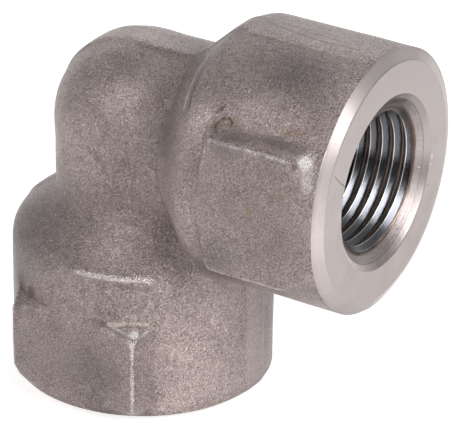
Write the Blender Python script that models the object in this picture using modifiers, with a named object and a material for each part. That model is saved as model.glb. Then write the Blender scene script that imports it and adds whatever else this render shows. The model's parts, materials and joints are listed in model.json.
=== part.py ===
# High pressure female elbow: a 90 degree pipe fitting, forged in one piece from steel
# and machined at its two ends. It stands on its lower port. Metres, +Z up.
#
# The forging is one arm, turned about its port's axis and mirrored across the mitre plane.
# Drafted wrench lugs and the trimmed flash line are joined to it, and then each port is
# cut by one turned tool, which faces, bevels, counterbores and bores it in one go.

import math

import bmesh
import bpy
from mathutils import Matrix

# Threaded ports, with the fitting's walls measured from them
centre_to_face = 0.03835     # from the crossing of the port axes to each machined face
thread_root_radius = 0.01048        # half of the thread's largest diameter, at the first turn
thread_height = 0.00116      # from its roots to its crests
thread_lead_depth = 0.0020   # from the face to the first turn
thread_depth = 0.0155        # from the face to the end of the thread
thread_taper = 1 / 32        # loss of radius for each unit of depth
bore_step = 0.0010           # the waterway is this much smaller in radius than the thread's end
bore_step_slope = math.radians(45)
drill_overrun = 0.0020       # how far each waterway drill goes past the crossing
drill_point = math.radians(59)      # half of the drill's point angle
counterbore_step = 0.00182   # from the thread's roots out to the counterbore
counterbore_depth = 0.00145
bevel_width = 0.0017         # of the outer bevel, seen on the end face
bevel_depth = 0.0010         # along the axis, where the bevel meets the hub's wall

# Forged arm
hub_wall = 0.00802           # from the thread's roots to the hub's outside
neck_wall = 0.00445          # round the waterway, between the hubs
wall_inner_end = 0.0182      # from the crossing to where the hub's straight wall ends
shoulder_radius = 0.0046     # rounding between the hub's wall and its sloped shoulder
shoulder_slope = math.radians(48)   # between the sloped shoulder and the port's axis
foot_radius = 0.0016         # hollow rounding where the shoulder meets the neck
heel_squareness = 2.35       # 2 makes the heel a sphere, more makes it fuller at the corner

# Wrench lugs: two flats on each hub, front and back
lug_half_width = 0.0094      # half of a flat's width, at its two edges
lug_draft = math.radians(18)        # how far a lug's sides lean out towards the parting plane
lug_proud = 0.00008          # the flats stand this far out from the hub's wall
lug_setback_lower = 0.0048   # from the inner end of the hub's wall to the lug's foot
lug_setback_side = 0.0018
lug_end_slope = 0.667        # axial run of the lug's inner end for each unit of its height

# Flash line: the trimmed seam of the forging dies, in the plane of the two axes
flash_half_width = 0.0024
flash_height = 0.00022

# Making
turn_steps = 64              # sides of every turned surface
arc_steps = 5                # straight pieces in a rounding
heel_steps = 9
trim_stock = 0.0008          # extra length of the forging that facing removes
tool_margin = 0.003          # how far a tool reaches beyond the stock
merge_distance = 0.00001

# Worked out from the sizes above
tapping_radius = thread_root_radius - thread_height
bore_end_radius = tapping_radius - thread_taper * (thread_depth - thread_lead_depth)
waterway_radius = bore_end_radius - bore_step
counterbore_radius = thread_root_radius + counterbore_step
hub_radius = thread_root_radius + hub_wall
neck_radius = waterway_radius + neck_wall
face_radius = hub_radius - bevel_width
hub_arc_radius = hub_radius - shoulder_radius
rough_end = -centre_to_face - trim_stock

# Where the crossing lies, with the fitting's box centred on the origin and standing at zero
crossing_x = -(centre_to_face - hub_radius - flash_height) / 2
crossing_z = centre_to_face


def clear_scene():
    for old in list(bpy.data.objects):
        bpy.data.objects.remove(old, do_unlink=True)


def new_collection(name):
    collection = bpy.data.collections.new(name)
    bpy.context.scene.collection.children.link(collection)
    return collection


def metal(name, colour, roughness, metallic):
    material = bpy.data.materials.new(name)
    material.use_nodes = True
    shader = material.node_tree.nodes["Principled BSDF"]
    shader.inputs["Base Color"].default_value = (*colour, 1)
    shader.inputs["Roughness"].default_value = roughness
    shader.inputs["Metallic"].default_value = metallic
    material.diffuse_color = (*colour, 1)
    return material


def add_empty(name, collection, parent=None):
    empty = bpy.data.objects.new(name, None)
    empty.empty_display_size = hub_radius
    collection.objects.link(empty)
    empty.parent = parent
    return empty


def add_object(name, mesh, material, collection, parent):
    mesh.materials.append(material)
    mesh.shade_smooth()
    item = bpy.data.objects.new(name, mesh)
    item.parent = parent
    collection.objects.link(item)
    return item


def hide_as_tool(item):
    item.hide_render = True
    item.display_type = "WIRE"


def turn(name, profile, material, collection, parent):
    """Turn a profile of (radius, height) points, top to bottom, about the object's Z axis."""
    mesh = bpy.data.meshes.new(name)
    points = [(radius, 0, height) for radius, height in profile]
    edges = [(i, i + 1) for i in range(len(points) - 1)]
    mesh.from_pydata(points, edges, [])
    item = add_object(name, mesh, material, collection, parent)
    screw = item.modifiers.new("turned", "SCREW")
    screw.axis = "Z"
    screw.steps = turn_steps
    screw.render_steps = turn_steps
    screw.use_merge_vertices = True
    screw.merge_threshold = merge_distance
    screw.use_normal_calculate = False
    return item


def boolean(item, operation, tool):
    modifier = item.modifiers.new(f"{operation.lower()} {tool.name}", "BOOLEAN")
    modifier.operation = operation
    modifier.object = tool
    modifier.solver = "EXACT"
    modifier.material_mode = "TRANSFER"


def arc(centre_radius, centre_height, radius, start, end, steps):
    """Points on an arc. The angle is that of its normal, up from the outward direction."""
    points = []
    for i in range(steps + 1):
        angle = start + (end - start) * i / steps
        points.append((centre_radius + radius * math.cos(angle),
                       centre_height + radius * math.sin(angle)))
    return points


def heel_cap(radius):
    """The closed end of the neck, beyond the crossing: radius**n + height**n = constant."""
    points = []
    for i in range(heel_steps):
        angle = math.pi / 2 * (1 - i / heel_steps)
        power = 2 / heel_squareness
        points.append((radius * max(math.cos(angle), 0) ** power if i else 0,
                       radius * math.sin(angle) ** power))
    return points


def arm_profile(growth):
    """The forged arm from the heel down to the rough end, moved out by growth all over."""
    slope_top = neck_radius + foot_radius * (1 - math.cos(shoulder_slope))
    slope_bottom = hub_arc_radius + shoulder_radius * math.cos(shoulder_slope)
    slope_run = (slope_bottom - slope_top) / math.tan(shoulder_slope)
    foot_height = (-wall_inner_end + shoulder_radius * math.sin(shoulder_slope)
                   + slope_run + foot_radius * math.sin(shoulder_slope))
    points = heel_cap(neck_radius + growth)
    points.append((neck_radius + growth, 0))
    points += arc(neck_radius + foot_radius, foot_height, growth - foot_radius,
                  0, shoulder_slope, arc_steps)
    points += arc(hub_arc_radius, -wall_inner_end, shoulder_radius + growth,
                  shoulder_slope, 0, arc_steps)
    points.append((hub_radius + growth, rough_end))
    points.append((0, rough_end))
    return points


def turn_both(name, profile, material, collection, crossing, mitre):
    """A profile turned about the lower port's axis, and its mirror image along +X."""
    pair = turn(name, profile, material, collection, crossing)
    mirror = pair.modifiers.new("mitred", "MIRROR")
    mirror.mirror_object = mitre
    mirror.use_axis = (True, False, False)
    mirror.use_bisect_axis = (True, False, False)
    mirror.use_bisect_flip_axis = (True, False, False)
    mirror.bisect_threshold = merge_distance
    mirror.merge_threshold = merge_distance
    return pair


def flash_line(material, tools, crossing, mitre):
    """The arms a little larger, kept only near the parting plane."""
    flash = turn_both("flash_line", arm_profile(flash_height), material, tools, crossing, mitre)
    mesh = bpy.data.meshes.new("parting_slab")
    reach = 2 * (centre_to_face + tool_margin)
    stretch = Matrix.Diagonal((2 * reach, 2 * flash_half_width, 2 * reach, 1))
    form = bmesh.new()
    bmesh.ops.create_cube(form, size=1, matrix=stretch)
    form.to_mesh(mesh)
    form.free()
    slab = add_object("parting_slab", mesh, material, tools, crossing)
    hide_as_tool(slab)
    boolean(flash, "INTERSECT", slab)
    hide_as_tool(flash)
    return flash


def lug_bar(name, setback, material, tools, parent):
    """A six-sided bar through the hub, whose front and back faces are the wrench flats."""
    flat = hub_radius + lug_proud
    waist = lug_half_width + flat * math.tan(lug_draft)
    outline = [(lug_half_width, flat), (-lug_half_width, flat), (-waist, 0),
               (-lug_half_width, -flat), (lug_half_width, -flat), (waist, 0)]
    foot = -wall_inner_end - setback
    top = foot + lug_end_slope * (hub_radius - hub_arc_radius)
    form = bmesh.new()
    base = form.faces.new([form.verts.new((x, y, rough_end)) for x, y in outline])
    pushed = bmesh.ops.extrude_face_region(form, geom=[base])
    raised = [part for part in pushed["geom"] if isinstance(part, bmesh.types.BMVert)]
    bmesh.ops.translate(form, verts=raised, vec=(0, 0, top + tool_margin - rough_end))
    bmesh.ops.recalc_face_normals(form, faces=form.faces)
    mesh = bpy.data.meshes.new(name)
    form.to_mesh(mesh)
    form.free()
    bar = add_object(name, mesh, material, tools, parent)
    outer_radius = math.hypot(lug_half_width, flat) + tool_margin
    cone_bottom = foot - lug_end_slope * (outer_radius - hub_radius)
    end_profile = [(0, top), (hub_arc_radius, top), (outer_radius, cone_bottom),
                   (outer_radius, rough_end - tool_margin), (0, rough_end - tool_margin)]
    end = turn(f"{name}_end", end_profile, material, tools, parent)
    hide_as_tool(end)
    boolean(bar, "INTERSECT", end)
    hide_as_tool(bar)
    return bar


def port_tools(material, tools, crossing, mitre):
    """Everything that machining takes away at both ports, from the drill's point to the bevel."""
    face = -centre_to_face
    first_turn = face + thread_lead_depth
    last_turn = face + thread_depth
    step = bore_step / math.tan(bore_step_slope)
    bevel_slope = bevel_depth / bevel_width
    outer_radius = hub_radius + tool_margin
    profile = [
        (0, drill_overrun + waterway_radius / math.tan(drill_point)),
        (waterway_radius, drill_overrun),
        (waterway_radius, last_turn + step),
        (bore_end_radius, last_turn),
        (tapping_radius, first_turn + thread_height),
        (thread_root_radius, first_turn),
        (counterbore_radius, face + counterbore_depth),
        (counterbore_radius, face),
        (face_radius, face),
        (outer_radius, face + bevel_slope * (outer_radius - face_radius)),
        (outer_radius, rough_end - tool_margin),
        (0, rough_end - tool_margin),
    ]
    pair = turn_both("port_tools", profile, material, tools, crossing, mitre)
    hide_as_tool(pair)
    return pair


def build():
    clear_scene()
    model = new_collection("high_pressure_female_elbow")
    tools = new_collection("tools")
    forged = metal("forged_steel", (0.262, 0.205, 0.188), 0.55, 0.55)
    machined = metal("machined_steel", (0.56, 0.52, 0.49), 0.32, 0.9)

    crossing = add_empty("crossing", tools)
    crossing.location = (crossing_x, 0, crossing_z)
    mitre = add_empty("mitre", tools, crossing)
    mitre.rotation_euler = (0, math.radians(-45), 0)
    side_axis = add_empty("side_axis", tools, crossing)
    side_axis.rotation_euler = (0, math.radians(-90), 0)

    elbow = turn_both("elbow", arm_profile(0), forged, model, crossing, mitre)
    boolean(elbow, "UNION", flash_line(forged, tools, crossing, mitre))
    boolean(elbow, "UNION", lug_bar("lower_lugs", lug_setback_lower, forged, tools, crossing))
    boolean(elbow, "UNION", lug_bar("side_lugs", lug_setback_side, forged, tools, side_axis))
    boolean(elbow, "DIFFERENCE", port_tools(machined, tools, crossing, mitre))


build()
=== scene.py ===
# High pressure female elbow: forged skin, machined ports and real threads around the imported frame
import json
import math

import bpy
import numpy as np
from mathutils import Matrix, Vector


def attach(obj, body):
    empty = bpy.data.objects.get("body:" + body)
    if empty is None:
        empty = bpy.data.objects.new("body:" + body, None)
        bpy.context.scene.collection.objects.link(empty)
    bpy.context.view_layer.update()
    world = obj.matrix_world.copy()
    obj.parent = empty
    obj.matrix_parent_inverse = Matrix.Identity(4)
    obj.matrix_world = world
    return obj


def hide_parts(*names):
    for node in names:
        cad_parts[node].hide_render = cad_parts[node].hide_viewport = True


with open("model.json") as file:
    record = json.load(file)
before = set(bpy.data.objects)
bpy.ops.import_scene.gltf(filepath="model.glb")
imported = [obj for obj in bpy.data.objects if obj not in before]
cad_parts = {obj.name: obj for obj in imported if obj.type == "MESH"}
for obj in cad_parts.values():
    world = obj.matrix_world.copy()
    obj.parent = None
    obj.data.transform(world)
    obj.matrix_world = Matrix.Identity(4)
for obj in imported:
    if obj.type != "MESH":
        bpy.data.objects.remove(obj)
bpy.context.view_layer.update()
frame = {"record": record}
mounts = {m["name"]: m["pos_m"] for m in frame["record"]["mounts"]}
crossing = Vector((mounts["lower_port_face"][0], 0, mounts["side_port_face"][2]))  # of the two port axes
centreToFace = crossing.z - mounts["lower_port_face"][2]
print("frame loaded: crossing", [round(v, 5) for v in crossing])

# the forged body: metres, in a frame whose origin is the crossing
body = {
    "hubRadius": 0.0185,
    "neckRadius": 0.01235,
    "heelSquareness": 2.0,       # 2 is a sphere
    "fanPivot": 0.0231,          # rows of the mesh fan about this far from both axes
    "hubJoin": 0.0007,           # hollow where the two hubs meet
    "neckJoin": 0.0004,          # hollow where the two necks meet, outside the bend and inside it
    "bendJoin": 0.0060,
    "bendTurn": (0.1, 1.3),      # and where it changes from one to the other, in neck radii
    "skinJoin": 0.0001,
    "creaseToward": math.radians(18),  # a sharp edge on the lower shoulder, as far round from the front
    "creaseReach": (0.90, 0.98),       # and how soon it rounds off, as cosines
    "lipWidth": 0.0005,          # how far from the edge its small lip is felt
    "lugDraft": math.radians(18),
    "lugEndSlope": 0.667,
    "lugRound": 0.0004,
    "lugJoin": 0.00025,
    "flashHalfWidth": 0.0024,
    "flashHeight": 0.00006,      # how far the trimmed flash line's flat land stands out in the middle
    "flashEdge": 0.00050,        # how softly the land's edges run out
    "unevenness": 0.00005,       # long waves in the forged skin
    "bevelWidth": 0.0017,
    "bevelDepth": 0.0010,
    "bevelLean": 0.42,           # how much shallower the bevel is towards +y
    "leanTurn": (-0.2, 0.9),     # and from where to where that changes, as sines
    "columns": 252,
    "crowding": ((0, 4.5, 0.045), (0.13, 1.2, 0.05)),  # more columns past a lug's edge: angle, weight, width
    "fanRows": 64,
    "wallRows": 16,
    "closeRows": 0.62,           # share of the wall's rows that lie close together
    "closeReach": 0.0036,        # and how far past the pivot they go
    "rayReach": 0.040,           # as far out as rays look for the skin
    "raySteps": 56,
    "edgeReach": 0.00035,        # distance over which edges and hollows are felt
    "edgeScale": 2000,           # and what their sharpness is divided by, to lie near 1
}
# each arm's own values: where its shoulder's cone would meet the wall and the cone's slope, how round the
# shoulder's edge is, how round its foot is away from the bend and towards it and between which shares of the
# turn that changes, half a lug's width, its foot and the slopes that cut its corners at the face
arms = {
    "side": {"coneStart": 0.0166, "coneSlope": math.radians(43), "edgeRound": 0.0012, "creaseRound": 0.0012,
             "lip": 0.0, "outerFoot": 0.0011, "innerFoot": 0.00030, "footTurn": (-0.9, -0.1),
             "lugWidth": 0.0096, "lugFoot": 0.0200, "cornerSlope": 1.7, "cornerTilt": 0.0},
    "lower": {"coneStart": 0.0159, "coneSlope": math.radians(51.5), "edgeRound": 0.0019,
              "creaseRound": 0.0003, "lip": 0.00012, "outerFoot": 0.0006, "innerFoot": 0.0036,
              "footTurn": (-0.1, 0.6), "lugWidth": 0.0100, "lugFoot": 0.0230, "cornerSlope": 0.75,
              "cornerTilt": 0.5},
}
port = {
    "mouthRadius": 0.0123,
    "shallowDepth": 0.00065,     # the mouth's outer cone is flat, the inner one steep
    "shallowRadius": 0.01142,
    "rootRadius": 0.01048,
    "threadHeight": 0.00110,
    "pitch": 0.001814,
    "ridge": ((0, 0.17, 1), (0, 0.32, 1.02)),    # the vee's height from root to crest, steeper near the root
    "firstTurn": 0.00155,
    "lastTurn": 0.0155,
    "taper": 1 / 32,
    "leadSlope": 6.0,            # how steeply the lead cone cuts into the first crests
    "waterwayRadius": 0.0079,
    "edgeBreak": 0.00008,
    "burr": 0.00001,             # how ragged the thread's edge is at the mouth
    "fineTo": 0.0105,            # as far in as the threads are seen
    "fineRows": 22,              # rows to a pitch there, and beyond it
    "plainRows": 6,
    "sideStart": 0.500,          # turn of the thread at the top, as a share of a turn
    "lowerStart": 0.6,
    "waterwayRows": (0.0175, 0.0130),            # from the crossing
    "bendTilt": 0.28,            # first of the waterway's rows that fan about the pivot, in radians
    "bendWidth": 1.16,           # how much wider than its radius the waterway may be in the mitre plane
}


# smooth maximum and minimum of two fields, over a width k where they are nearly equal
def softMax(a, b, k):
    h = np.clip(k - np.abs(a - b), 0, None) / k
    return np.maximum(a, b) + h * h * k / 4


def softMin(a, b, k):
    return -softMax(-a, -b, k)


# 0 up to low, 1 from high on, smooth between
def smoothStep(value, low, high):
    share = np.clip((value - low) / (high - low), 0, 1)
    return share * share * (3 - 2 * share)


# one hub: wall r - R and shoulder cone, their edge round but for a sharp stretch with a small lip in front
def hubField(u, y, w, arm):
    r = np.maximum(np.hypot(y, w), 1e-9)
    wall = r - body["hubRadius"]
    toward = body["creaseToward"]
    crease = smoothStep((-y * math.cos(toward) - w * math.sin(toward)) / r, *body["creaseReach"])
    cone = (arm["coneStart"] - u) * math.sin(arm["coneSlope"]) + wall * math.cos(arm["coneSlope"])
    hub = softMax(wall, cone, arm["edgeRound"] + (arm["creaseRound"] - arm["edgeRound"]) * crease)
    return hub - arm["lip"] * crease * np.exp(-(wall ** 2 + cone ** 2) / body["lipWidth"] ** 2)


# how round the foot of a hub is: from the outside of the bend to its inside
def footRoundness(y, w, arm):
    inward = smoothStep(-w / np.maximum(np.hypot(y, w), 1e-9), *arm["footTurn"])
    return arm["outerFoot"] + (arm["innerFoot"] - arm["outerFoot"]) * inward


# its two lugs: flats |y| - R, drafted sides, a coned end towards the neck and corners cut at the face
def lugField(u, y, w, arm):
    wall = np.hypot(y, w) - body["hubRadius"]
    flat = np.abs(y) - body["hubRadius"]
    draft = body["lugDraft"]
    flank = (np.abs(w) - arm["lugWidth"]) * math.cos(draft) + flat * math.sin(draft)
    slope = body["lugEndSlope"]
    end = (arm["lugFoot"] + slope * wall - u) / math.hypot(1, slope)
    cut = arm["cornerSlope"] + arm["cornerTilt"] * w / arm["lugWidth"]
    corner = (u - centreToFace + body["bevelDepth"] + cut * wall) / np.hypot(1, cut)
    lug = softMax(softMax(flat, flank, body["lugRound"]), end, body["lugRound"])
    return softMax(lug, corner, body["lugRound"] * 2)


# the neck along one arm, closed past the crossing by |u|^n + r^n
def neckField(u, y, w):
    r = np.hypot(y, w)
    n = body["heelSquareness"]
    cap = (np.abs(np.minimum(u, 0)) ** n + r ** n) ** (1 / n)
    return cap - body["neckRadius"]


# each wave in the skin: radians to a metre, its direction and its shift
swells = [(520, (1, .4, .3), .7), (610, (-.3, 1, .5), 2.1), (700, (.2, -.5, 1), 4.0),
          (900, (.8, .7, -.6), 1.3), (1150, (-.7, .6, .9), 5.2)]


# long waves: a sum of a few sines in skew directions, the shorter the lower
def waves(x, y, z):
    longest = swells[0][0]
    total = 0
    for scale, (ax, ay, az), shift in swells:
        total = total + np.sin(scale * (ax * x + ay * y + az * z) + shift) * longest / scale
    return total / 3


# necks and hubs of both arms, without lugs
def plainField(x, y, z):
    inward = smoothStep((x - z) / body["neckRadius"], *body["bendTurn"])
    join = body["neckJoin"] + (body["bendJoin"] - body["neckJoin"]) * inward
    skin = softMin(neckField(x, y, z), neckField(-z, y, -x), join)
    hubs = []
    for arm, (u, w) in ((arms["side"], (x, z)), (arms["lower"], (-z, -x))):
        hub = hubField(u, y, w, arm)
        skin = softMin(skin, hub, footRoundness(y, w, arm))
        hubs.append(hub)
    return softMin(skin, softMin(*hubs, body["hubJoin"]), body["skinJoin"])


# the whole forged skin: lugs added, and the flash line's land, flat across, as wide as |y| < half its width
def forgedField(x, y, z):
    skin = plainField(x, y, z)
    land = softMax(plainField(x, 0 * y, z) - body["flashHeight"], np.abs(y) - body["flashHalfWidth"],
                   body["flashEdge"])
    skin = softMin(skin, land, body["flashEdge"])
    for arm, (u, w) in ((arms["side"], (x, z)), (arms["lower"], (-z, -x))):
        skin = softMin(skin, lugField(u, y, w, arm), body["lugJoin"])
    return skin + body["unevenness"] * (1 - waves(x, y, z))


# places in the crossing's frame from an arm's own (u along the axis, y, w away from the bend)
def armToFrame(u, y, w, arm):
    return (u, y, w) if arm == "side" else (-w, y, -u)


# column angles, from the outside of the bend through +y, closer together at the lugs' edges
def columnAngles():
    fine = np.linspace(0, 2 * math.pi, 20001)
    density = np.ones_like(fine)
    lugWidth = (arms["side"]["lugWidth"] + arms["lower"]["lugWidth"]) / 2
    corner = math.atan2(lugWidth, body["hubRadius"])
    for flatAt in (math.pi / 2, 3 * math.pi / 2):
        for side in (-1, 1):
            for past, more, width in body["crowding"]:
                density += more * np.exp(-((fine - flatAt - side * (corner + past)) / width) ** 2)
    total = np.concatenate(([0], np.cumsum((density[1:] + density[:-1]) / 2)))
    return np.interp(np.arange(body["columns"]) / body["columns"] * total[-1], total, fine)


# first place along each ray where the field crosses zero: coarse steps outwards, then halving
def castRays(origin, direction, arm):
    reach, steps = body["rayReach"], body["raySteps"]

    def field(t):
        u = origin[..., 0] + t * direction[..., 0]
        y = origin[..., 1] + t * direction[..., 1]
        w = origin[..., 2] + t * direction[..., 2]
        return forgedField(*armToFrame(u, y, w, arm))

    low = np.zeros(direction.shape[:-1])
    high = np.full_like(low, reach)
    found = np.zeros(low.shape, bool)
    for i in range(1, steps + 1):
        t = np.full_like(low, reach * i / steps)
        outside = (field(t) > 0) & ~found
        high = np.where(outside, t, high)
        low = np.where(outside, t - reach / steps, low)
        found |= outside
    for _ in range(24):
        middle = (low + high) / 2
        inside = field(middle) < 0
        low = np.where(inside, middle, low)
        high = np.where(inside, high, middle)
    return (low + high) / 2


# rows of the forged skin from the mitre plane out to the bevel: planes that fan about the pivot, then planes
# square to the arm; the bevel's slope is its depth over its width, less its lean
def skinRows(arm, angles):
    pivot, rows = body["fanPivot"], body["fanRows"]
    tilt = np.linspace(math.pi / 4, 0, rows)[:, None]
    outward = np.cos(angles)[None, :]
    sideways = np.sin(angles)[None, :]
    origin = np.zeros((rows, len(angles), 3))
    origin[..., 0] = pivot - pivot * np.tan(tilt)
    direction = np.stack([-np.sin(tilt) * outward, np.broadcast_to(sideways, (rows, len(angles))),
                          np.cos(tilt) * outward], -1)
    distance = castRays(origin, direction, arm)
    fan = origin + distance[..., None] * direction

    square = np.stack([np.zeros(len(angles)), np.sin(angles), np.cos(angles)], -1)[None]
    lean = body["bevelLean"] * smoothStep(np.sin(angles), *body["leanTurn"])
    bevelSlope = body["bevelDepth"] / body["bevelWidth"] * (1 - lean)
    landRadius = body["hubRadius"] - body["bevelWidth"]
    probe = np.zeros((1, len(angles), 3))
    edge = np.full(len(angles), centreToFace - body["bevelDepth"])
    for _ in range(4):                                   # the wall's radius where the bevel's cone meets it
        probe[0, :, 0] = edge
        radius = castRays(probe, square, arm)[0]
        edge = centreToFace - (radius - landRadius) * bevelSlope
    dense = np.linspace(0, 1, body["wallRows"] + 1)[1:]
    close = body["closeRows"]                            # rows stay close until past the lug's end
    closeReach = body["closeReach"] / (centreToFace - pivot)
    late = np.clip((dense - close) / (1 - close), 0, 1)
    share = np.where(dense < close, dense / close * closeReach, closeReach * (1 - late) + late)
    origin = np.zeros((len(share), len(angles), 3))
    origin[..., 0] = pivot + (edge[None, :] - pivot) * share[:, None]
    distance = castRays(origin, np.broadcast_to(square, origin.shape), arm)
    wall = origin + distance[..., None] * square
    return np.concatenate([fan, wall], 0), edge, distance[-1]


# radius of the thread: a vee between its roots and its narrow crests, turned by the angle round the axis and
# never inside the lead cone; and where it is that cone
def threadRadius(depth, turn):
    root = port["rootRadius"] - port["taper"] * (depth - port["firstTurn"])
    phase = (depth / port["pitch"] + turn) % 1
    ridge = 1 - np.abs(2 * phase - 1)                    # 0 at a root, 1 at a crest
    ridge = np.clip(np.interp(ridge, *port["ridge"]), 0, 1)
    runout = np.clip((port["lastTurn"] - depth) / port["pitch"], 0, 1)
    cut = root - port["threadHeight"] * (1 - (1 - ridge) * np.minimum(1, runout * 1.4))
    lead = port["rootRadius"] - np.clip(depth - port["firstTurn"], 0, None) * port["leadSlope"]
    return np.maximum(cut, lead), (lead > cut).astype(float)


# rows of the machined port, each at a depth and a radius, from the skin's own columns to evenly spaced ones
def portRows(arm, angles, edge, edgeRadius):
    even = np.arange(len(angles)) / len(angles) * 2 * math.pi
    landRadius = body["hubRadius"] - body["bevelWidth"]
    small = port["edgeBreak"]
    mouth, inner, depthIn = port["mouthRadius"], port["shallowRadius"], port["shallowDepth"]
    rows, kinds, leads = [], [], []

    def add(depth, radius, evenness, kind, lead=0):
        angle = angles + (even - angles) * evenness
        depth = np.broadcast_to(depth, angle.shape)
        radius = np.broadcast_to(radius, angle.shape)
        rows.append(np.stack([centreToFace - depth, radius * np.sin(angle), radius * np.cos(angle)], -1))
        kinds.append(kind)
        leads.append(np.broadcast_to(lead, angle.shape))

    edgeDepth = centreToFace - edge
    for share in (0.04, 0.35, 0.7, 0.95):                # down the bevel
        add(edgeDepth * (1 - share), edgeRadius + (landRadius - edgeRadius) * share, 0, "machined")
    add(0, landRadius, 0, "machined")
    for share in (0.03, 0.25, 0.5, 0.75, 0.97):          # across the end face
        add(0, landRadius + (mouth + small - landRadius) * share, share, "machined")
    add(0, mouth + small, 1, "machined")
    add(small * 0.4, mouth - small, 1, "machined")
    for share in (0.15, 0.5, 0.85, 0.97):
        add(depthIn * share, mouth + (inner - mouth) * share, 1, "machined")
    add(depthIn, inner, 1, "machined")
    first, last = port["firstTurn"], port["lastTurn"]
    ragged = port["burr"] * sum(np.sin(even * k + k * k) for k in (7, 13, 22, 31, 47))
    for share, raggedness in ((0.06, 0), (0.5, 0), (0.9, 1)):
        radius = inner + (port["rootRadius"] - inner) * share - ragged * raggedness
        add(depthIn + (first - depthIn) * share, radius, 1, "machined")
    turnSign, start = (-1, port["sideStart"]) if arm == "side" else (1, port["lowerStart"])
    turn = (turnSign * even / (2 * math.pi) + start) % 1
    fine = port["fineRows"] if arm == "side" else port["plainRows"]
    fineTo, pitch = port["fineTo"], port["pitch"]
    near = np.linspace(first, fineTo, round((fineTo - first) / pitch * fine))
    far = np.linspace(fineTo, last, round((last - fineTo) / pitch * port["plainRows"]))
    for depth in np.concatenate([near, far[1:]]):
        radius, lead = threadRadius(depth, turn)
        add(depth, radius, 1, "thread", lead)
    step = threadRadius(last, turn)[0][0] - port["waterwayRadius"]
    add(last + step, port["waterwayRadius"], 1, "thread")
    for u in port["waterwayRows"]:
        add(centreToFace - u, port["waterwayRadius"], 1, "thread")
    rows = np.stack(rows)

    # the waterway up to the mitre plane, in planes that fan about the pivot
    tilt = np.linspace(port["bendTilt"], math.pi / 4, 8)[:, None]
    pivot = body["fanPivot"]
    across = np.hypot(np.cos(even)[None, :] * np.cos(tilt), np.sin(even)[None, :])
    distance = port["waterwayRadius"] * np.minimum(1 / across, port["bendWidth"])
    bend = np.stack([pivot - pivot * np.tan(tilt) - np.sin(tilt) * distance * np.cos(even),
                     distance * np.sin(even), np.cos(tilt) * distance * np.cos(even)], -1)
    leads = np.concatenate([np.stack(leads), np.zeros(bend.shape[:2])], 0)
    return np.concatenate([rows, bend], 0), kinds + ["thread"] * len(bend), leads


# broad darker (below 0) and paler (above 0) patches: stains, scuffs, painted shade and painted highlights;
# place, radius, amount
stainsAndPaintedLight = [
    ((0.0260, -0.0170, 0.0470), 0.0018, 0.80),       # worn corner of the upper lug
    ((-0.0020, -0.0170, 0.0155), 0.0016, 0.30),      # worn end of the lower lug
    ((-0.0005, -0.0160, 0.0160), 0.0015, 0.30),
    ((0.0065, -0.0080, 0.0130), 0.0130, 0.85),       # painted highlight on the right side of the lower hub, painted shade at its far edge
    ((0.0080, 0.0045, 0.0135), 0.0085, -0.50),
    ((0.0190, -0.0070, 0.0555), 0.0055, -0.60),      # painted shade on the upper front of the side hub
    ((0.0040, -0.0070, 0.0530), 0.0085, -0.25),
    ((0.0090, -0.0150, 0.0490), 0.0022, 0.65),       # pale skin round the nick and the drop
    ((0.0090, -0.0165, 0.0465), 0.0022, 0.40),
    ((0.0160, -0.0140, 0.0505), 0.0035, 0.55),       # scuffs above the upper lug, and painted shade on its side
    ((0.0215, -0.0135, 0.0505), 0.0022, 0.45),
    ((0.0260, -0.0145, 0.0500), 0.0015, 0.30),
    ((0.0145, -0.0175, 0.0480), 0.0022, -0.45),
    ((0.0075, -0.0180, 0.0345), 0.0035, 0.45),       # the side hub's front, below the lug
    ((0.0130, -0.0185, 0.0315), 0.0035, -0.30),
    ((0.0260, -0.0180, 0.0310), 0.0015, 0.25),
    ((-0.0065, -0.0100, 0.0455), 0.0035, 0.75),      # painted highlight on the heel, painted shade beside it
    ((-0.0090, -0.0065, 0.0495), 0.0035, -0.30),
    ((-0.0110, 0.0000, 0.0505), 0.0050, 0.30),
    ((-0.0130, -0.0120, 0.0350), 0.0055, 0.25),      # the neck: painted light at its left edge, painted shade towards the bend
    ((0.0020, -0.0130, 0.0430), 0.0035, -0.35),
    ((0.0010, -0.0095, 0.0280), 0.0035, -0.40),
    ((0.0030, -0.0105, 0.0240), 0.0022, -0.30),
    ((-0.0050, -0.0145, 0.0250), 0.0035, 0.75),      # painted highlight in the middle of the lower shoulder, painted shade inside the bend and to its left
    ((0.0015, -0.0140, 0.0225), 0.0022, 0.35),
    ((0.0100, -0.0120, 0.0245), 0.0055, -0.70),
    ((-0.0205, -0.0135, 0.0235), 0.0085, -0.45),
    ((-0.0145, -0.0180, 0.0170), 0.0035, 0.30),      # round the lower hub's deep spot, and its lug's flat
    ((-0.0205, -0.0150, 0.0160), 0.0018, -0.45),
    ((-0.0050, -0.0185, 0.0080), 0.0055, -0.45),
    ((0.0195, -0.0020, 0.0568), 0.0040, 0.30),       # paler along the top, and painted light thrown up by the floor at the bottom
    ((0.0040, -0.0130, 0.0010), 0.0040, 0.30),
]


# amount exp(-(distance / radius)^2), summed over the stains and the patches of painted light and shade
def stainAndPaintedLightAmount(points):
    total = np.zeros(len(points))
    for place, radius, amount in stainsAndPaintedLight:
        total += amount * np.exp(-((points - place) ** 2).sum(1) / radius ** 2)
    return total


# how sharply the skin turns at each vertex: the field's second differences, above 0 on edges and below 0 in
# hollows
def edgeSharpness(points, reach):
    x, y, z = (points[:, k] for k in range(3))
    total = -6 * forgedField(x, y, z)
    for dx, dy, dz in ((1, 0, 0), (0, 1, 0), (0, 0, 1)):
        for side in (-reach, reach):
            total = total + forgedField(x + dx * side, y + dy * side, z + dz * side)
    return total / reach ** 2


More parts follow.
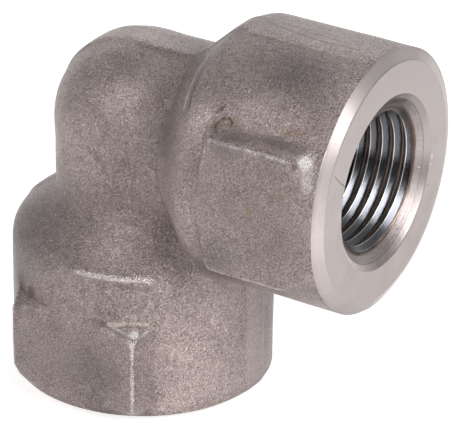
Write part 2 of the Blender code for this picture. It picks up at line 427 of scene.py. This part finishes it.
# one closed grid: out along the side arm's skin, in through its port, round the bend and back along the
# lower arm; its attribute "edge" holds the skin's edges and the threads' lead cone
def elbowMesh():
    angles = columnAngles()
    grids, kinds, leads = [], [], []
    for arm in ("side", "lower"):
        skin, edge, edgeRadius = skinRows(arm, angles)
        machined, portKinds, portLeads = portRows(arm, angles, edge, edgeRadius)
        grid = np.concatenate([skin, machined], 0)
        x, y, z = armToFrame(grid[..., 0], grid[..., 1], grid[..., 2], arm)
        grids.append(np.stack([x, y, z], -1))
        kinds.append(["skin"] * (len(skin) - 1) + ["machined"] + portKinds)
        leads.append(np.concatenate([np.zeros(skin.shape[:2]), portLeads], 0))
    side, lower = grids
    points = np.concatenate([side, lower[::-1][1:-1]], 0)     # the two mitre rows are shared
    rowKinds = kinds[0][:-1] + kinds[1][::-1][1:]
    rows, columns = points.shape[:2]
    vertices = points.reshape(-1, 3) + np.array(crossing)
    i, j = np.meshgrid(np.arange(rows), np.arange(columns), indexing="ij")
    nextRow, nextColumn = (i + 1) % rows, (j + 1) % columns
    quads = np.stack([i * columns + j, nextRow * columns + j,
                      nextRow * columns + nextColumn, i * columns + nextColumn], -1).reshape(-1, 4)
    slots = {"skin": 0, "machined": 1, "thread": 2}
    faceSlots = np.repeat([slots[k] for k in rowKinds], columns)
    a, b, c = (vertices[quads[:, k]] for k in (0, 1, 2))
    if np.einsum("ij,ij->i", a, np.cross(b, c)).sum() < 0:    # faces outwards
        quads = quads[:, ::-1]
    mesh = bpy.data.meshes.new("elbowSkin")
    mesh.from_pydata(vertices.tolist(), [], quads.tolist())
    mesh.polygons.foreach_set("material_index", faceSlots.astype(np.int32))
    mesh.polygons.foreach_set("use_smooth", np.ones(len(quads), bool))
    sharpness = edgeSharpness(points.reshape(-1, 3), body["edgeReach"]) / body["edgeScale"]
    onSkin = np.repeat([k == "skin" for k in rowKinds], columns)
    lead = np.concatenate([leads[0], leads[1][::-1][1:-1]], 0).reshape(-1)
    edges = mesh.attributes.new("edge", "FLOAT", "POINT")
    edges.data.foreach_set("value", np.where(onSkin, sharpness, lead).astype(np.float32))
    # attribute "stain": the painted highlights and painted shade of the patch list, with its real stains and
    # scuffs
    stained = mesh.attributes.new("stain", "FLOAT", "POINT")
    stained.data.foreach_set("value", stainAndPaintedLightAmount(vertices).astype(np.float32))
    mesh.update()
    print("elbow mesh:", rows, "rows", columns, "columns", len(quads) * 2, "triangles")
    return mesh


# a wrapped output socket: arithmetic on it adds Math nodes, and node() adds any other node
class Wire:
    def __init__(self, tree, socket):
        self.tree, self.socket = tree, socket

    def node(self, kind, settings=None, sockets=None, output=0):
        made = self.tree.nodes.new(kind)
        for name, value in (settings or {}).items():
            if name == "stops":
                ramp = made.color_ramp
                while len(ramp.elements) < len(value):
                    ramp.elements.new(0.5)
                for stop, (place, colour) in zip(ramp.elements, value):
                    stop.position = place
                    stop.color = colour if len(colour) == 4 else (*colour, 1)
            else:
                setattr(made, name, value)
        for name, value in (sockets or {}).items():
            if isinstance(value, Wire):
                self.tree.links.new(value.socket, made.inputs[name])
            else:
                made.inputs[name].default_value = value
        return Wire(self.tree, made.outputs[output])

    def math(self, operation, *values, clamp=False):
        return self.node("ShaderNodeMath", {"operation": operation, "use_clamp": clamp},
                         dict(enumerate(values)))

    def __add__(self, other):
        return self.math("ADD", self, other)

    def __radd__(self, other):
        return self.math("ADD", other, self)

    def __sub__(self, other):
        return self.math("SUBTRACT", self, other)

    def __rsub__(self, other):
        return self.math("SUBTRACT", other, self)

    def __mul__(self, other):
        return self.math("MULTIPLY", self, other)

    def __rmul__(self, other):
        return self.math("MULTIPLY", other, self)

    def __truediv__(self, other):
        return self.math("DIVIDE", self, other)

    def __rtruediv__(self, other):
        return self.math("DIVIDE", other, self)

    def __pow__(self, other):
        return self.math("POWER", self, other)

    def __rpow__(self, other):
        return self.math("POWER", other, self)


def clamped(wire):
    return wire.math("ADD", wire, 0.0, clamp=True)


def rise(wire, low, high):                               # 0 up to low, 1 from high on, smooth between
    return wire.node("ShaderNodeMapRange", {"interpolation_type": "SMOOTHSTEP"},
                     {"Value": wire, "From Min": low, "From Max": high})


def noise(place, scale, detail=2.0, roughness=0.5):
    return place.node("ShaderNodeTexNoise", {"noise_dimensions": "3D"},
                      {"Vector": place, "Scale": scale, "Detail": detail, "Roughness": roughness})


def mixColour(share, first, second):
    wire = share if isinstance(share, Wire) else first
    return wire.node("ShaderNodeMix", {"data_type": "RGBA"}, {0: share, 6: first, 7: second}, 2)


def scaled(colour, amount):                              # a colour made brighter or darker
    return colour.node("ShaderNodeVectorMath", {"operation": "SCALE"}, {0: colour, "Scale": amount})


def attribute(place, name):
    return place.node("ShaderNodeAttribute", {"attribute_name": name}, {}, "Fac")


def parts(place):                                        # x, y and z of a vector
    split = place.node("ShaderNodeSeparateXYZ", {}, {0: place})
    return [Wire(place.tree, split.socket.node.outputs[k]) for k in range(3)]


def bump(height, distance, strength=1.0):
    return height.node("ShaderNodeBump", {}, {
        "Height": height, "Distance": distance, "Strength": strength})


def newMaterial(name):
    material = bpy.data.materials.new(name)
    material.use_nodes = True
    tree = material.node_tree
    tree.nodes.clear()
    output = tree.nodes.new("ShaderNodeOutputMaterial")
    place = Wire(tree, tree.nodes.new("ShaderNodeTexCoord").outputs["Object"])
    return material, output, place


def finish(material, output, place, colour, roughness, metallic, normal):
    shader = place.node("ShaderNodeBsdfPrincipled", {}, {
        "Base Color": colour, "Roughness": roughness, "Metallic": metallic, "Normal": normal})
    material.node_tree.links.new(shader.socket, output.inputs["Surface"])
    return material


forged = {
    "dark": (0.135, 0.105, 0.099, 1),
    "mid": (0.318, 0.258, 0.247, 1),
    "pale": (0.550, 0.466, 0.452, 1),
    "worn": (0.66, 0.61, 0.60, 1),
    "soot": (0.120, 0.088, 0.075, 1),
    "rust": (0.200, 0.105, 0.055, 1),
    "trimmed": (0.40, 0.345, 0.335, 1),
    "metallic": 0.75,
    "roughness": 0.28,
    "grainScale": 4000,
    "grainHeight": 0.00055,
    "driftScale": 140,
    "patchScale": 900,
    "rustScale": 260,
}


# small marks: place, radius, colour and strength
marks = [
    ((0.0136, -0.0147, 0.0495), 0.0007, (0.32, 0.17, 0.09, 1), 0.35),    # faint rust at the upper lug's end
    ((0.0109, -0.0153, 0.0489), 0.0007, (0.32, 0.17, 0.09, 1), 0.30),
    ((0.0182, -0.0185, 0.0394), 0.0006, (0.34, 0.21, 0.12, 1), 0.50),    # and on its flat
    ((0.0228, -0.0184, 0.0425), 0.0006, (0.34, 0.21, 0.12, 1), 0.45),
    ((-0.0205, -0.0152, 0.0160), 0.0011, (0.12, 0.060, 0.03, 1), 0.85),  # a deeper spot on the lower hub
    ((-0.0178, -0.0167, 0.0160), 0.0012, (0.10, 0.070, 0.06, 1), 0.65),
    ((0.0257, -0.0171, 0.0478), 0.0013, (1.00, 0.96, 0.90, 1), 0.75),    # bare metal, upper lug's corner
    ((0.0246, -0.0179, 0.0471), 0.0006, (0.12, 0.090, 0.085, 1), 0.60),
    ((-0.0004, -0.0172, 0.0145), 0.0009, (1.00, 0.99, 0.97, 1), 0.90),   # and lower one's
]


# 1 on a mark: within its radius, with an edge broken up by noise
def markMask(place, centre, radius, patch):
    away = place.node("ShaderNodeVectorMath", {"operation": "DISTANCE"}, {0: place, 1: centre}, "Value")
    return rise(away + (patch - 0.5) * (radius * 0.7), radius, radius * 0.4)


# lines along the skin through two or more places: half width, colour and strength
streaks = [
    # a nick, and the edge of a dried drop beside it
    (((0.0114, -0.0138, 0.0506), (0.0108, -0.0144, 0.0499)), 0.00024, (0.06, 0.045, 0.040, 1), 0.70),
    (((0.0123, -0.0170, 0.0482), (0.0115, -0.0160, 0.0486), (0.0114, -0.0153, 0.0490),
      (0.0120, -0.0148, 0.0495), (0.0128, -0.0146, 0.0496), (0.0133, -0.0149, 0.0493),
      (0.0134, -0.0153, 0.0489)), 0.00026, (0.115, 0.060, 0.030, 1), 0.70),
    # faint rust above the upper lug, painted shade along the lug's side, and its worn end
    (((0.0212, -0.0147, 0.0496), (0.0222, -0.0145, 0.0498)), 0.00040, (0.28, 0.165, 0.085, 1), 0.40),
    (((0.0225, -0.0144, 0.0500), (0.0234, -0.0144, 0.0499)), 0.00045, (0.28, 0.165, 0.085, 1), 0.40),
    (((0.0150, -0.0166, 0.0484), (0.0205, -0.0160, 0.0486), (0.0243, -0.0161, 0.0484)),
     0.00125, (0.17, 0.137, 0.128, 1), 0.45),
    (((0.0261, -0.0175, 0.0466), (0.0264, -0.0180, 0.0444)), 0.00085, (0.80, 0.745, 0.720, 1), 0.38),
    # the lower lug's paler side, a painted shadow as a dark line under the shoulder's edge, and the lug's
    # worn end
    (((0.0001, -0.0166, 0.0135), (0.0001, -0.0166, 0.0020)), 0.00075, (0.62, 0.555, 0.540, 1), 0.30),
    (((-0.0062, -0.0181, 0.0214), (-0.0027, -0.0170, 0.0213), (0.0007, -0.0152, 0.0209)),
     0.00060, (0.14, 0.108, 0.100, 1), 0.30),
    (((-0.0042, -0.0178, 0.0153), (-0.0015, -0.0168, 0.0156), (0.0006, -0.0153, 0.0155)),
     0.00036, (0.95, 0.860, 0.770, 1), 0.60),
    (((-0.0038, -0.0178, 0.0151), (-0.0007, -0.0175, 0.0143)), 0.00028, (0.75, 0.760, 0.780, 1), 0.50),
    # marks of the trimming along the flash line, and its land's paler edge
    (((0.0095, 0.0004, 0.0569), (0.0135, -0.0005, 0.0569), (0.0189, -0.0012, 0.0569),
      (0.0240, -0.0010, 0.0569)), 0.00026, (0.12, 0.080, 0.062, 1), 0.60),
    (((0.0120, 0.0012, 0.0569), (0.0170, 0.0004, 0.0569), (0.0215, 0.0001, 0.0569)),
     0.00022, (0.13, 0.090, 0.070, 1), 0.45),
    (((0.0087, -0.0027, 0.0567), (0.0259, -0.0028, 0.0566)), 0.00060, (0.56, 0.490, 0.450, 1), 0.35),
    # a fine pale ridge along the side hub's foot, with painted shade as a dark band to its left and a dark
    # line to its right
    (((0.0002, -0.0040, 0.0504), (0.0009, -0.0067, 0.0497), (0.0013, -0.0088, 0.0485),
      (0.0019, -0.0108, 0.0472), (0.0026, -0.0124, 0.0461)), 0.00110, (0.20, 0.160, 0.150, 1), 0.40),
    (((0.0044, -0.0050, 0.0534), (0.0044, -0.0066, 0.0530), (0.0042, -0.0084, 0.0519),
      (0.0043, -0.0101, 0.0509), (0.0046, -0.0118, 0.0497), (0.0051, -0.0134, 0.0486)),
     0.00042, (0.60, 0.530, 0.520, 1), 0.75),
    (((0.0058, -0.0078, 0.0539), (0.0057, -0.0096, 0.0528), (0.0057, -0.0112, 0.0517),
      (0.0059, -0.0126, 0.0504), (0.0064, -0.0142, 0.0493)), 0.00034, (0.11, 0.085, 0.080, 1), 0.70),
]


# 1 within a half width of the line between two places: |p - a - clamp((p - a).d) d|
def lineMask(place, start, end, width, speck):
    start, end = Vector(start), Vector(end)
    length = (end - start).length
    along = (end - start).normalized()
    away = place.node("ShaderNodeVectorMath", {"operation": "SUBTRACT"}, {0: place, 1: start})
    share = away.node("ShaderNodeVectorMath", {"operation": "DOT_PRODUCT"}, {0: away, 1: along}, "Value")
    share = share.math("MINIMUM", share.math("MAXIMUM", share, 0.0), length)
    foot = away.node("ShaderNodeVectorMath", {"operation": "SCALE"}, {0: along, "Scale": share})
    gap = away.node("ShaderNodeVectorMath", {"operation": "DISTANCE"}, {0: away, 1: foot}, "Value")
    return rise(gap + (speck - 0.5) * (width * 0.8), width, width * 0.4)


# the colour with a list of such lines laid over it
def drawLines(place, colour, lines, speck):
    for places, width, tint, strength in lines:
        for start, end in zip(places, places[1:]):
            colour = mixColour(lineMask(place, start, end, width, speck) * strength, colour, tint)
    return colour


# forged and shot-blasted skin: fine grain in colour and bump, drifting tone, worn edges with a painted glint
# on them, darker hollows, faint rust, and broad patches of painted highlight and painted shade among the
# stains
def forgedMaterial():
    material, output, place = newMaterial("forgedSkin")
    edge = attribute(place, "edge")
    grain = noise(place, forged["grainScale"], 2.0, 0.6)
    fine = noise(place, forged["grainScale"] * 2.1, 1.0, 0.5)
    drift = noise(place, forged["driftScale"], 3.0, 0.55)
    patch = noise(place, forged["patchScale"], 3.0, 0.6)
    tone = clamped((grain - 0.5) * 1.5 + (patch - 0.5) * 0.35 + (drift - 0.5) * 0.35 + 0.5)
    colour = tone.node("ShaderNodeValToRGB", {"stops": [
        (0.15, forged["dark"]), (0.5, forged["mid"]), (0.9, forged["pale"])]}, {0: tone})
    rustMask = rise(noise(place, forged["rustScale"], 4.0, 0.6), 0.60, 0.74) * 0.30
    colour = mixColour(rustMask, colour, forged["rust"])
    y = parts(place)[1]
    half = body["flashHalfWidth"]
    fromMiddle = y.math("ABSOLUTE", y) + (patch - 0.5) * 0.0006
    trimmed = rise(fromMiddle, half + 0.0002, half - 0.0002)
    colour = mixColour(trimmed * 0.45, colour, forged["trimmed"])
    # darker in the hollows of the skin
    hollow = rise(edge * -1.0, 0.15, 0.80) * (1.0 - trimmed) * 0.5
    colour = mixColour(hollow, colour, forged["soot"])
    # worn edges, made paler also as a painted glint along the skin's sharp edges
    worn = rise(edge + (patch - 0.5) * 1.5, 0.45, 1.10)
    colour = mixColour(worn * 0.7, colour, forged["worn"])
    # brightness scaled by that attribute: painted highlights, painted shade and stains
    colour = scaled(colour, attribute(place, "stain") + 1.0)
    for centre, radius, tint, strength in marks:
        colour = mixColour(markMask(place, centre, radius, patch) * strength, colour, tint)
    colour = drawLines(place, colour, streaks, patch)
    roughness = forged["roughness"] + (fine - 0.5) * 0.25 - worn * 0.12
    height = grain * 0.65 + fine * 0.35
    return finish(material, output, place, colour, roughness, forged["metallic"],
                  bump(height, forged["grainHeight"]))


machined = {
    "colour": (0.523, 0.464, 0.453, 1),
    "dull": (0.42, 0.362, 0.350, 1),
    "stain": (0.27, 0.232, 0.222, 1),
    "burnt": (0.16, 0.095, 0.060, 1),
    "roughness": 0.34,
    "metallic": 0.85,
    "driftScale": 220,
    "speckScale": 5200,
    "ringScale": 5200,
    "edgeBlur": 0.0001,          # how softly one cone's finish runs into the next
    # painted light and shade: how bright the side port's cones are round their axis, in a few stops of
    # degrees from the
    # front up: the bevel, the mouth's flat cone and its steep one, both painted dark at the top
    "bevelRound": [(-180, 1.1), (-120, 1.5), (-105, 1.9), (-80, 0.8), (-20, 1.2), (12, 1.7), (40, 1.3),
                   (60, 0.75), (90, 0.75), (120, 1.2), (180, 1.1)],
    "flatRound": [(-180, 1.5), (-160, 1.2), (-140, 1.9), (-115, 0.8), (-85, 0.7), (-40, 1.9), (60, 1.9),
                  (80, 0.7), (90, 0.1), (105, 0.5), (150, 0.95), (180, 1.5)],
    "coneRound": [(-180, 1.2), (-160, 1.2), (-140, 0.75), (-120, 0.4), (-90, 0.6), (-30, 1.0), (68, 1.0),
                  (84, 0.2), (95, 0.1), (120, 0.15), (135, 0.45), (165, 0.85), (180, 1.2)],
}


# scratches on the side port's face and mouth
scratches = [
    (((0.02753, 0.01075, 0.03593), (0.02785, 0.01140, 0.03570), (0.02854, 0.01260, 0.03590)),
     0.00014, (0.98, 0.96, 0.95, 1), 0.9),
    (((0.02854, 0.01280, 0.03717), (0.02854, 0.01284, 0.03670)), 0.00014, (0.98, 0.96, 0.95, 1), 0.8),
    (((0.02810, 0.01130, 0.03360), (0.02854, 0.01200, 0.03300)), 0.00016, (0.20, 0.15, 0.14, 1), 0.7),
    (((0.02854, -0.01431, 0.04527), (0.02854, -0.01265, 0.04356), (0.02854, -0.01130, 0.04250)),
     0.00013, (0.18, 0.14, 0.13, 1), 0.75),
]


# distance from a port's axis, hypot of y and of z (side) or x (lower) from the crossing, and depth below
# its face
def portPlace(place):
    x, y, z = parts(place)
    sideRadius = ((z - crossing.z) ** 2 + y ** 2) ** 0.5
    lowerRadius = ((x - crossing.x) ** 2 + y ** 2) ** 0.5
    middle = crossing.x + crossing.z
    onSide = rise(x + z, middle - 0.002, middle + 0.002)
    radius = sideRadius * onSide + lowerRadius * (1.0 - onSide)
    depth = (crossing.x + centreToFace - x) * onSide + (z - crossing.z + centreToFace) * (1.0 - onSide)
    return radius, depth


# a scale of painted light and shade following (degrees, value) stops round the side port's axis, 1 away from
# that port
def paintedLightScale(place, stops):
    x, y, z = parts(place)
    height = z - crossing.z
    share = height.math("ARCTAN2", height, y * -1.0) * (0.5 / math.pi) + 0.5
    onSide = rise(x, 0.010, 0.012)
    value = share.node("ShaderNodeValToRGB", {"stops": [
        ((degrees + 180) / 360, (tone / 2, tone / 2, tone / 2)) for degrees, tone in stops]}, {0: share})
    return value * 2.0 * onSide + (1.0 - onSide)


# turned end faces and bevels, rings left by the tool, a rougher, browner cone in the mouth, and painted
# light and shade
def machinedMaterial():
    material, output, place = newMaterial("machinedSteel")
    radius = portPlace(place)[0]
    drift = noise(place, machined["driftScale"], 3.0, 0.6)
    speck = noise(place, machined["speckScale"], 2.0, 0.6)
    across = place.node("ShaderNodeCombineXYZ", {}, {0: radius})
    rings = noise(across, machined["ringScale"], 2.0, 0.7)
    height = parts(place)[2] - crossing.z
    blur, inner = machined["edgeBlur"], port["shallowRadius"]
    # duller in patches of the drift noise and towards the bottom
    colour = mixColour(clamped((drift - 0.35) * 1.6 - height * 45.0), machined["colour"], machined["dull"])

    land = body["hubRadius"] - body["bevelWidth"]
    bevel = rise(radius, land - blur, land + blur)
    mouthEdge = port["mouthRadius"] + 0.00002
    mouth = rise(radius + (speck - 0.5) * 0.0002, mouthEdge, mouthEdge - 0.00012)
    mouth = mouth * rise(radius + (speck - 0.5) * 0.0003, inner - blur, inner + blur)
    steep = rise(radius, inner + blur, inner - blur)
    rim = rise(radius + (drift - 0.5) * 0.0008, body["hubRadius"] - 0.0007, body["hubRadius"]) * 0.5
    corner = radius - inner + (drift - 0.5) * 0.00006
    line = rise(corner.math("ABSOLUTE", corner), 0.00007, 0.00003)
    stained = clamped(mouth * (speck * 0.35 + 0.25) + rim * drift + line * 0.7)
    colour = mixColour(stained, colour, machined["stain"])

    # painted light and shade round the side port's axis, on the bevel and on the mouth's two cones
    tone = (bevel * (paintedLightScale(place, machined["bevelRound"]) - 1.0)
            + mouth * (paintedLightScale(place, machined["flatRound"]) - 1.0)
            + steep * (paintedLightScale(place, machined["coneRound"]) - 1.0) + 1.0)
    worked = mouth + steep
    tone = tone + (tone - 1.0) * (rings - 0.5) * 0.5 + worked * ((speck - 0.5) * 0.9 + (drift - 0.5) * 0.5)
    colour = scaled(colour, tone)
    # a ragged dark ring at the thread's start, dirt together with painted shade, left off the lower side
    ragged = radius + (speck - 0.5) * 0.0003 + (drift - 0.5) * 0.0003
    burnt = rise(ragged, port["rootRadius"] + 0.00020, port["rootRadius"] + 0.00008)
    burnt = burnt * rise(height, -0.0075, -0.0045)
    colour = mixColour(burnt * 0.85, colour, machined["burnt"])
    colour = drawLines(place, colour, scratches, speck)
    roughness = machined["roughness"] + (rings - 0.5) * 0.30 + worked * 0.06
    metallic = machined["metallic"] - rise(tone, 1.1, 1.9) * 0.55
    relief = rings + mouth * speck * 2.0
    return finish(material, output, place, colour, roughness, metallic, bump(relief, 0.00002, 0.6))


threaded = {
    "crest": (0.80, 0.75, 0.70, 1),
    "flank": (0.120, 0.124, 0.140, 1),
    "root": (0.55, 0.40, 0.31, 1),
    "shade": (0.36, 0.275, 0.235, 1),
    "lead": (0.075, 0.055, 0.050, 1),
    "boreDark": (0.14, 0.115, 0.105, 1),
    "borePale": (0.32, 0.275, 0.255, 1),
    "roughness": 0.23,
    "metallic": 0.95,
    "driftScale": 700,
    "rowScale": 3000,
    # painted reflections and painted shade on the threads round the side port's axis, darkest just past the
    # top
    "round": [(-180, 1.2), (-150, 1.6), (-120, 0.8), (-90, 0.7), (-70, 1.0), (120, 1.0), (135, 0.3),
              (150, 1.0), (180, 1.2)],
}


# cut thread: bright crests, blue-grey flanks, brown roots, a ragged dark start of dirt and painted shade,
# painted light and shade round the axis, and the plain bore behind
def threadMaterial():
    material, output, place = newMaterial("cutThread")
    radius, axial = portPlace(place)
    lead = attribute(place, "edge")
    drift = noise(place, threaded["driftScale"], 3.0, 0.6)
    rows = noise(place, threaded["rowScale"], 2.0, 0.6)
    root = port["rootRadius"] - (axial - port["firstTurn"]) * port["taper"]
    full = (root - radius) / port["threadHeight"]        # 0 at a root, 1 at a crest
    depth = clamped(full)
    shade = depth + (drift - 0.5) * (1.0 - depth) * 0.3
    colour = shade.node("ShaderNodeValToRGB", {"stops": [
        (0.06, threaded["root"]), (0.15, threaded["shade"]), (0.22, threaded["shade"]),
        (0.38, threaded["flank"]), (0.90, threaded["flank"]), (0.95, threaded["crest"])]}, {0: shade})
    colour = mixColour(lead, colour, threaded["lead"])
    # a ragged dark start of the thread, dirt together with painted shade, left off the lower side
    ragged = axial + (rows - 0.5) * 0.0007 + (drift - 0.5) * 0.0005
    start = rise(ragged, port["firstTurn"] + 0.00042, port["firstTurn"] + 0.00024)
    start = start * rise(parts(place)[2] - crossing.z, -0.0070, -0.0040)
    colour = mixColour(start * 0.85, colour, threaded["lead"])
    bore = rise(full, 1.12, 1.30)
    colour = mixColour(bore, colour, mixColour(drift, threaded["boreDark"], threaded["borePale"]))
    # painted reflections and painted shade round the side port's axis
    colour = scaled(colour, paintedLightScale(place, threaded["round"]))
    roughness = threaded["roughness"] + lead * 0.22 + (rows - 0.5) * 0.1 + bore * 0.25
    metallic = threaded["metallic"] - rise(shade, 0.36, 0.16) * 0.70
    return finish(material, output, place, colour, roughness, metallic, bump(rows, 0.00002, 0.5))


elbowPiece = bpy.data.objects.new("elbowBody", elbowMesh())
bpy.context.scene.collection.objects.link(elbowPiece)
for made in (forgedMaterial(), machinedMaterial(), threadMaterial()):
    elbowPiece.data.materials.append(made)
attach(elbowPiece, "root")
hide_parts("elbow")
print("elbow dressed")

stage = {
    "floorSize": 3.0,
    "floorEnd": 0.120,           # the table's right-hand end, out of view but mirrored in the threads
    "floorBelow": 0.00003,       # just clear of the face that stands on it
    "floorColour": (0.86, 0.86, 0.86, 1),
    "floorSeen": 0.55,           # light added to the floor for the camera, so that it is white
    "floorMirrored": 0.34,       # and for what mirrors it
    "horizon": 0.56,             # strength of the world's light low down
    "rightShare": 0.25,          # how much brighter that is to the right
    "rightGap": 0.25,            # how much higher the dark gap beyond the table's end reaches
    "backBand": 0.34,            # how much brighter it is low behind
    "ceiling": 0.30,             # strength of the light from above
}


# plain floor, brighter where it is seen or mirrored, and a world with a bright horizon below a dim ceiling
def addStage():
    half = stage["floorSize"] / 2
    mesh = bpy.data.meshes.new("floor")
    end, drop = stage["floorEnd"], -stage["floorBelow"]
    corners = [(-half, -half, drop), (end, -half, drop), (end, half, drop), (-half, half, drop)]
    mesh.from_pydata(corners, [], [(0, 1, 2, 3)])
    floor = bpy.data.objects.new("floor", mesh)
    bpy.context.scene.collection.objects.link(floor)
    material = bpy.data.materials.new("floorPaper")
    material.use_nodes = True
    tree = material.node_tree
    tree.nodes.clear()
    output = tree.nodes.new("ShaderNodeOutputMaterial")
    rays = tree.nodes.new("ShaderNodeLightPath")
    seen, mirrored, through = (Wire(tree, rays.outputs[k]) for k in
                               ("Is Camera Ray", "Is Glossy Ray", "Is Transmission Ray"))
    reflected = mirrored.math("MAXIMUM", mirrored, through)
    paper = seen.node("ShaderNodeBsdfDiffuse", {}, {"Color": stage["floorColour"]})
    strength = seen * stage["floorSeen"] + reflected * stage["floorMirrored"]
    glow = seen.node("ShaderNodeEmission", {}, {"Color": (1, 1, 1, 1), "Strength": strength})
    both = seen.node("ShaderNodeAddShader", {}, {0: paper, 1: glow})
    tree.links.new(both.socket, output.inputs["Surface"])
    mesh.materials.append(material)

    world = bpy.data.worlds.new("studio")
    bpy.context.scene.world = world
    world.use_nodes = True
    tree = world.node_tree
    tree.nodes.clear()
    output = tree.nodes.new("ShaderNodeOutputWorld")
    place = Wire(tree, tree.nodes.new("ShaderNodeTexCoord").outputs["Generated"])
    x, y, z = parts(place)
    high = rise(z, 0.30, 0.80)
    low = rise(z - rise(x, 0.3, 0.8) * stage["rightGap"], -0.12, -0.06) - high
    strength = (x * stage["rightShare"] + stage["horizon"]) * low + high * stage["ceiling"]
    strength = strength + rise(z, 0.35, 0.10) * rise(y, 0.2, 0.9) * low * stage["backBand"]
    seen = Wire(tree, tree.nodes.new("ShaderNodeLightPath").outputs["Is Camera Ray"])
    strength = strength.math("MAXIMUM", strength, seen)
    light = place.node("ShaderNodeBackground", {}, {"Color": (1, 1, 1, 1), "Strength": strength})
    tree.links.new(light.socket, output.inputs["Surface"])


# each lamp: direction from the object, distance, size and power in watts
lamps = {
    "rightHigh": {"toward": (0.86, -0.36, 0.33), "distance": 0.8, "size": 0.3, "power": 0.12},
    "rightNear": {"toward": (0.8, 0.0, 0.41), "distance": 0.35, "size": 0.175, "power": 0.68},
    "frontLow": {"toward": (-0.3, -0.9, 0.15), "distance": 0.8, "size": 0.4, "power": 4.0},
    "backLow": {"toward": (-0.45, 0.75, 0.40), "distance": 0.8, "size": 0.5, "power": 1.2},
    "key": {"toward": (-0.475, -0.527, 0.708), "distance": 0.7, "size": 0.10, "power": 0.4},
}


def addLamps():
    centre = Vector((0, 0, 0.03))
    for name, values in lamps.items():
        lamp = bpy.data.lights.new(name, "AREA")
        lamp.shape = "SQUARE"
        lamp.size = values["size"]
        lamp.energy = values["power"]
        item = bpy.data.objects.new(name, lamp)
        item.location = centre + Vector(values["toward"]).normalized() * values["distance"]
        item.rotation_euler = (centre - item.location).to_track_quat("-Z", "Y").to_euler()
        bpy.context.scene.collection.objects.link(item)


# where the photo was taken from, with its focal length in its own pixels
view = {
    "azimuth": math.radians(30.96),
    "elevation": math.radians(27.31),
    "roll": math.radians(0.81),
    "distance": 0.42136,
    "focalPixels": 3226.45,
    "imageWidth": 460,
    "sensor": 36.0,
    "target": (0.024934, -0.018045, -0.000483),          # from the crossing
}


# camera: at the target plus distance times its direction, rolled about its own line of sight
def addCamera():
    azimuth, elevation, roll = view["azimuth"], view["elevation"], view["roll"]
    back = Vector((math.sin(azimuth) * math.cos(elevation), -math.cos(azimuth) * math.cos(elevation),
                   math.sin(elevation)))
    right = Vector((math.cos(azimuth), math.sin(azimuth), 0))
    up = back.cross(right)
    turnedRight = right * math.cos(roll) + up * math.sin(roll)
    turnedUp = up * math.cos(roll) - right * math.sin(roll)
    place = crossing + Vector(view["target"]) + back * view["distance"]
    lens = bpy.data.cameras.new("camera")
    lens.sensor_width = view["sensor"]
    lens.lens = view["focalPixels"] * view["sensor"] / view["imageWidth"]
    lens.clip_start = 0.01
    lens.clip_end = 20
    item = bpy.data.objects.new("camera", lens)
    item.matrix_world = Matrix((
        (turnedRight.x, turnedUp.x, back.x, place.x),
        (turnedRight.y, turnedUp.y, back.y, place.y),
        (turnedRight.z, turnedUp.z, back.z, place.z),
        (0, 0, 0, 1)))
    bpy.context.scene.collection.objects.link(item)
    bpy.context.scene.camera = item


addStage()
addLamps()
addCamera()
bpy.context.scene.view_settings.view_transform = "Standard"
print("stage, lamps and camera set")
